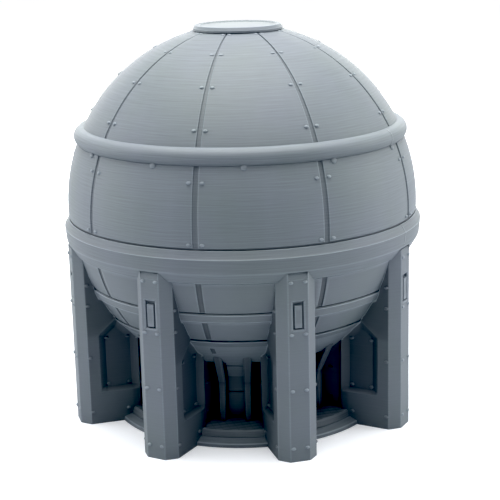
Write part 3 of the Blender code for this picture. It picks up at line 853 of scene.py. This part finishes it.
# the leg's outline in plan, with points where the slot, the pocket and the tank's corners need them
def legOutline():
    half, outer, chamfer = leg["width"] / 2, leg["outer"], leg["chamfer"]
    box = boxOutline(leg["inner"], outer, half, leg["rounding"], chamfer)
    widths = [width / 2 for width, _, _ in slotEdges]
    widths.append(widths[0] + legPoints["besideSlot"])
    front = [[outer, side * w] for side in (-1, 1) for w in widths]
    start, end, beside = pocket["inner"], pocket["outer"], legPoints["besidePocket"]
    low, high = start + pocket["sideBevel"], end - pocket["sideBevel"]
    ends = [start, end, low, high, low + beside, high - beside, (start + end) / 2]
    ends.append(end + legPoints["besideSlot"])
    radii = undersideCorners()
    ends += list(np.sqrt(radii[radii > leg["inner"] + 1] ** 2 - half ** 2))
    flanks = [[x, side * half] for side in (-1, 1) for x in ends if x < outer - chamfer - 0.6]
    return filled(sortedOutline(np.vstack([box, front, flanks])), legPoints["step"])


# puts the points of a convex outline in order round its middle, without doubles
def sortedOutline(points):
    middle = (points.min(0) + points.max(0)) / 2
    angle = np.arctan2(*(points - middle).T[::-1])
    points = points[np.argsort(angle)]
    apart = np.linalg.norm(points - np.roll(points, 1, 0), axis=1) > 0.02
    return points[apart]


# heights of the rows above the pocket, on the leg's front
def faceLevels():
    steps = sorted(edge[side] for edge in slotEdges for side in (1, 2))
    brow, beside = leg["brow"][0], legPoints["besideSlot"]
    levels = [*legPoints["underSlot"], steps[0] - beside] + steps[:5]
    levels += [*np.linspace(steps[4], steps[5], 5)[1:-1]] + steps[5:]
    levels += [steps[-1] + beside, *legPoints["overSlot"], brow - beside, brow, brow + beside]
    return levels + [leg["top"] - drop for drop in legPoints["head"]]


# the rows' heights for each column: key heights from the foot to the tank's underside, bent over the
# pocket's roof and squeezed where the tank comes down
def legHeights(x, y):
    top = np.minimum(leg["top"], undersideHeight(np.hypot(x, y)))
    roof, slope = pocketRoof(x)
    roof = np.minimum(roof, top)
    inside = np.clip(pocketInwards(x) / pocket["sideBevel"], 0, 1)
    lower = roof - inside * pocket["roofBevel"] * np.hypot(1, slope)
    below, least = legPoints["ends"]
    lower = np.minimum(np.where(inside > 0, lower, pocket["shoulder"] - below), roof - least)
    low, bevel, beside = pocket["bottom"], pocket["footBevel"], legPoints["besidePocket"]
    start = low + bevel + beside
    keys = [0 * x + z for z in (*legPoints["foot"], low - beside, low, low + bevel, start)]
    far, near = legPoints["underRoof"]
    shares = np.linspace(0, 1, legPoints["floorRows"] + 1)[1:]
    keys += [start + (lower - far - start) * share for share in shares]
    keys += [lower - near, lower, roof - np.minimum(far, (roof - lower) / 2), roof]
    keys += [roof + beside * (top > roof + near)]
    base, start = pocket["shoulder"] + beside, keys[-1]
    keys += [start + (top - start) * (z - base) / (leg["top"] - base) for z in faceLevels()]
    return np.array(keys)


# how light a leg looks, as painted shade: darker on its flanks, above, behind and in the pockets, with a
# pale lip at the tank
def legTone(x, z, flank, sunk):
    high = np.clip((z - pocketRoof(x)[0]) / 2 + 0.5, 0, 1)
    behind = np.clip((pocket["inner"] + pocket["sideBevel"] + 0.2 - x) / 0.4, 0, 1) * flank
    tone = np.where(flank, leg["flankTone"] - leg["highShade"] * high, 1)
    tone = tone * (1 - leg["sunkShade"] * sunk / pocket["depth"]) * (1 - leg["innerShade"] * behind)
    lip = flank & (z[-1] < leg["brow"][0]) & (z > z[-1] - leg["lip"])
    return np.where(lip, leg["lipTone"], tone)


# rows of points under the tank as a shell, closed at both ends by drawing them in to their middle line
def closedShell(x, y, z, highest=np.inf):
    rows = [np.stack([x, y, z], -1)]
    for share in (0.5, 0.0):
        roof = np.minimum(highest, undersideHeight(np.hypot(x[-1], y[-1] * share)))
        rows.append(np.stack([x[-1], y[-1] * share, roof], -1)[None])
        rows.insert(0, np.stack([x[0], y[0] * share, z[0]], -1)[None])
    return gridShell(np.vstack(rows))


# a leg at +X: its outline carried up, sunk by the pockets and the slot and leaning back above the brow
def legShell():
    x, y = legOutline().T
    z = legHeights(x, y)
    x, y = x + 0 * z, y + 0 * z
    flank = np.abs(np.abs(y) - leg["width"] / 2) < 1e-4
    front = np.abs(x - leg["outer"]) < 1e-4
    sunk = np.where(flank, pocketDepth(x, z), 0)
    tone = legTone(x, z, flank, sunk)
    tone = np.vstack([tone[:1], tone[:1], tone, tone[-1:], tone[-1:]]).ravel()
    y = y - sunk * np.sign(y)
    brow, back = leg["brow"]
    lean = back * np.clip((z - brow) / (leg["top"] - brow), 0, 1)
    x = x - np.where(front, slotDepth(y, z) + lean, 0)
    return closedShell(x, y, z, min(z[-1].max(), leg["top"])), tone


# the fin behind a leg: a rounded box from the column to the leg, cut back by the tank
def finShell():
    box = boxOutline(leg["finStart"], leg["inner"] + leg["finLap"], leg["fin"] / 2, 0.2)
    x, y = filled(box, legPoints["step"]).T
    top = undersideHeight(np.hypot(x, y))
    z = leg["finFoot"] + (top - leg["finFoot"]) * np.array(leg["finRows"])[:, None]
    return closedShell(x + 0 * z, y + 0 * z, z)


def legRivetShell():
    bases, normals, tones = [], [], []
    for place, tone in legRivets["tones"].items():
        for side in (1, -1):
            bases += [(x, side * y, z) for x, y, z in legRivets[place]]
            normals += [(1, 0, 0) if place == "face" else (0, side, 0)] * len(legRivets[place])
            tones += [tone] * len(legRivets[place])
    points, quads = rivetShell(bases, normals, legRivets["radius"], legRivets["height"])
    return (points, quads), np.repeat(tones, len(points) // len(bases))


# one piece in each of eight places round the axis, the first at an azimuth
def makeAround(name, first, shells, material, **look):
    for index in range(leg["count"]):
        azimuth = first + 360 / leg["count"] * index
        placed = [(turned(points, azimuth), quads) for points, quads in shells]
        node = f"{name}_{index + 1}"
        makePiece(f"{name}{index + 1}", placed, material, name + "_plastic", [node], **look)


def makeLegs():
    (shell, tone), (rivets, rivetTone) = legShell(), legRivetShell()
    look = {"paintedEdgeShare": (0.45, 0.3, 0.5), "tones": (tone, leg["finTone"], rivetTone)}
    makeAround("leg", 0, [shell, finShell(), rivets], legPlastic, **look)


pier = {
    "foot": 5.5, "start": 29.0, "ribFace": 38.0, "ribWidth": 2.4, "ribChamfer": 0.5,
    "ribAngle": 7.2, "ribBend": 20.0, "webFace": 33.7, "webWidth": 7.0, "webBend": 20.9,
    "edges": (0.25, 0.2),  # rounding of the ribs and the web
    "lean": 0.5,
    "flare": 0.35,  # how much wider a rib is at its head than at its foot
    "rows": ((0, 0.03, 0.3, 0.6, 0.9, 1), (0.03, 0.1, 0.3, 0.5, 0.9, 1)),  # shares below and above the bend
    # painted light and shade: the ribs darker, the web lighter above its bend and darker below it
    "ribTone": 0.74,
    "webTones": (1.25, 0.88, 0.92),  # above the bend, below it and below the lower groove
}

# the grooves across a web: heights, half of their floor's and mouth's width, depth, reach behind the face
grooves = {"heights": (15.2, 25.9), "floor": 0.15, "mouth": 0.3, "depth": 0.4, "reach": 0.3}


# a rib or web: an outline carried up, leaning out above its bend, with grooves cut in, to the tank. Its top
# is found by repeating z = underside(x + lean (z - bend))
def leaningShell(outline, bend, tones, flare=0.0, cuts=()):
    x, y = filled(outline, 0.8).T
    top = 0 * x + tank["floor"]
    for _ in range(20):
        top = undersideHeight(np.hypot(x + np.clip(top - bend, 0, None) * pier["lean"], y))
    below, above = (np.array(shares)[:, None] for shares in pier["rows"])
    lower = pier["foot"] + (bend - pier["foot"]) * below + 0 * x
    edges = (-grooves["mouth"], -grooves["floor"], grooves["floor"], grooves["mouth"])
    levels = [(height + edge + 0 * x)[None] for height in cuts for edge in edges]
    z = np.sort(np.vstack([lower, bend + (top - bend) * above] + levels), axis=0)
    px = x + np.clip(z - bend, 0, None) * pier["lean"]
    for height in cuts:
        inside = (np.abs(z - height) < grooves["floor"] + 0.01) * (x > pier["webFace"] - grooves["reach"])
        px = px - grooves["depth"] * inside
    py = y * (1 + flare * (z - pier["foot"]) / (tank["floor"] - pier["foot"]))
    first = np.stack([px[0], 0 * y, z[0]], -1)[None]
    last = np.stack([px[-1], 0 * y, z[-1]], -1)[None]
    shell = gridShell(np.vstack([first, np.stack([px, py, z], -1), last]))
    # painted light above the bend and painted shade below it
    high, middle, low = tones
    tone = np.where(z > bend + 0.01, high, np.where(z > grooves["heights"][0], middle, low))
    return shell, np.vstack([tone[:1], tone, tone[-1:]]).ravel()


def makePiers():
    ribEdge, webEdge = pier["edges"]
    rib = boxOutline(pier["start"], pier["ribFace"], pier["ribWidth"] / 2, ribEdge, pier["ribChamfer"])
    (points, quads), ribTone = leaningShell(rib, pier["ribBend"], [pier["ribTone"]] * 3, pier["flare"])
    shells = [(turned(points, 90 + side * pier["ribAngle"]), quads) for side in (-1, 1)]
    web = boxOutline(pier["start"], pier["webFace"], pier["webWidth"] / 2, webEdge)
    web, webTone = leaningShell(web, pier["webBend"], pier["webTones"], cuts=grooves["heights"])
    look = {"paintedEdgeShare": (0.6, 0.6, 0.1), "tones": (ribTone, ribTone, webTone)}
    makeAround("pier", 180 / leg["count"], shells + [web], pierPlastic, **look)


plinth = {
    "radius": 50.8, "tread": 1.9, "slope": 1.3,
    "nose": (0.3, 0.4),  # how far the outer edge of the tread is drawn in and down
    "joint": 2.7, "gap": 0.12, "riser": 47.5, "riserTone": 0.83,
    "lap": 0.3,  # how far the base runs out from under the riser
    "deckRadius": 46.4, "deckTop": 5.2,
    "deckSlope": 0.4,  # width and height of the slope round the deck
    "column": 28.7,
    "columnGap": 0.1,  # above and below the column
    "lift": 0.15,  # clears the floor, so that the legs alone show their feet from below
}


def makePlinth():
    lift, joint, radius, tread = (plinth[key] for key in ("lift", "joint", "radius", "tread"))
    inwards, downwards = plinth["nose"]
    base = roundedProfile([
        (0, joint, 0), (plinth["riser"] + plinth["lap"], joint, 0.2),
        (radius - plinth["slope"], tread, 0.3), (radius - inwards, tread - downwards, 0.4),
        (radius, lift, 0.15), (0, lift, 0),
    ])
    top, edge, slope = plinth["deckTop"], plinth["deckRadius"], plinth["deckSlope"]
    foot = joint + plinth["gap"]
    deck = roundedProfile([
        (0, top, 0), (edge, top, 0.2), (edge + slope, top - slope, 0.2), (plinth["riser"], foot, 0.15),
        (0, foot, 0),
    ])
    high, low = tank["floor"] - plinth["columnGap"], top + plinth["columnGap"]
    column = np.array([(0, high), (plinth["column"], high), (plinth["column"], low), (0, low)])
    # the riser and the deck's slope are darker than its top, as painted shade
    tone = np.repeat(np.where(deck[:, 1] < top - slope / 2, plinth["riserTone"], 1), aroundSteps)
    base, deck, column = (turnedShell(profile, wrapRows=False) for profile in (base, deck, column))
    look = {"paintedEdgeShare": (0.5,), "tones": (tone,)}
    makePiece("plinthBase", [base], plinthPlastic, "plinth_plastic", ["plinth_base"])
    makePiece("plinthDeck", [deck], deckPlastic, "plinth_plastic", ["plinth_deck"], **look)
    makePiece("coreColumn", [column], pierPlastic, "pier_plastic", ["core_column"])


makeLegs()
makePiers()
makePlinth()
print("legs, piers and plinth made")


# Floor, lights and camera

studio = {
    "reach": 4,  # metres from the model to the floor's sides
    "floor": (0.80, 0.83, 0.88), "floorRoughness": 0.9,
    "bounce": 0.9,  # share of the floor's colour that it gives off as light
    "glow": 0.25,  # the floor's own brightness near the model, and how far off it fades to white
    "fade": (90, 420), "background": (1.0, 1.0, 1.0), "lamp": (1.0, 0.995, 0.98),
    "black": (0.034, 0.031, 0.027),  # the scene's light that the picture shows as black
}

# softboxes: azimuth, distance from the axis, height, width, length up, power. All face the ball's middle
softboxes = {
    "topBackBox": (164.3, 150, 620, 700, 700, 5.4),
    "topFrontBox": (-15.7, 180, 620, 620, 620, 4.5),
    "backBox": (164.3, 800, 250, 1400, 500, 9.0),
    "leftBox": (-113, 580, 250, 560, 520, 2.6),
    "rightBox": (80, 580, 250, 460, 520, 2.7),
}


# pale paper, lit by the lamps, that also glows to the camera alone as painted light: a little near the
# model and more with the distance from it, up to the white of the surroundings
def floorMaterial():
    shader = Shader("floorPaper")
    away = shader.vector("LENGTH", {0: shader.place}, "Value")
    start, end = (distance * mm for distance in studio["fade"])
    ramp = {"Value": away, "From Min": start, "From Max": end, "To Min": studio["glow"], "To Max": 1.0}
    glow = shader.add("ShaderNodeMapRange", {"interpolation_type": "SMOOTHSTEP"}, ramp)
    seen = shader.add("ShaderNodeLightPath", output="Is Camera Ray")
    share = seen * (1 - studio["bounce"]) + studio["bounce"]
    tone = shader.vector("SCALE", {0: studio["floor"], "Scale": share})
    light = shader.vector("SCALE", {0: studio["background"], "Scale": glow * seen})
    look = {"Base_Color": tone, "Roughness": studio["floorRoughness"], "Emission_Color": light}
    return shader.finish(Emission_Strength=1.0, **look)


def makeFloor():
    ground, reach = bpy.data.meshes.new("floor"), studio["reach"]
    corners = [(-reach, -reach, 0), (reach, -reach, 0), (reach, reach, 0), (-reach, reach, 0)]
    ground.from_pydata(corners, [], [(0, 1, 2, 3)])
    ground.materials.append(floorMaterial())
    floor = addObject("floor", ground)


# the surroundings are white to the camera and give no light of their own
def makeWorld():
    world = bpy.data.worlds.new("studio")
    bpy.context.scene.world = world
    world.use_nodes = True
    tree = world.node_tree
    sky, seen = tree.nodes["Background"], tree.nodes.new("ShaderNodeLightPath")
    sky.inputs["Color"].default_value = (*studio["background"], 1)
    tree.links.new(seen.outputs["Is Camera Ray"], sky.inputs["Strength"])


def makeLights():
    target = Vector((0, 0, tank["centre"])) * mm
    for name, (azimuth, distance, height, width, length, power) in softboxes.items():
        light = bpy.data.lights.new(name, "AREA")
        light.shape = "RECTANGLE"
        light.size, light.size_y = width * mm, length * mm
        light.energy, light.color = power, studio["lamp"]
        lamp = addObject(name, light)
        lamp.visible_camera = False
        lamp.location = Vector(aroundAxis(distance, np.radians(azimuth), height)) * mm
        lamp.rotation_euler = (target - lamp.location).to_track_quat("-Z", "Y").to_euler()


camera = {
    "azimuth": -15.7, "elevation": 12.28,
    "distance": 512.55,  # from the point on the tank's axis at this height
    "height": 79.72,
    "aimSideways": 2.44,  # where the lens points, measured from the axis
    "aimHeight": 59.58, "roll": 1.44, "lens": 97.97, "sensor": 36.0,
    "clip": (0.01, 20),  # metres
}


def makeCamera():
    a, e = np.radians(camera["azimuth"]), np.radians(camera["elevation"])
    back = Vector(aroundAxis(np.cos(e), a, np.sin(e)))
    side = Vector((np.cos(a), np.sin(a), 0))
    data = bpy.data.cameras.new("photoView")
    data.lens, data.sensor_width = camera["lens"], camera["sensor"]
    data.clip_start, data.clip_end = camera["clip"]
    view = addObject("photoView", data)
    view.location = (Vector((0, 0, camera["height"])) + back * camera["distance"]) * mm
    aim = (side * camera["aimSideways"] + Vector((0, 0, camera["aimHeight"]))) * mm
    level = (aim - view.location).to_track_quat("-Z", "Y").to_matrix()
    view.rotation_euler = (level @ Matrix.Rotation(np.radians(-camera["roll"]), 3, "Z")).to_euler()
    bpy.context.scene.camera = view


makeFloor()
makeWorld()
makeLights()
makeCamera()
look = bpy.context.scene.view_settings
look.view_transform = "Standard"
look.use_curve_mapping = True
look.curve_mapping.black_level = studio["black"]
look.curve_mapping.update()
print("studio made")

triangles = sum(sum(len(face.vertices) - 2 for face in piece.data.polygons) for piece in made)
print(len(made), "pieces,", triangles, "triangles")
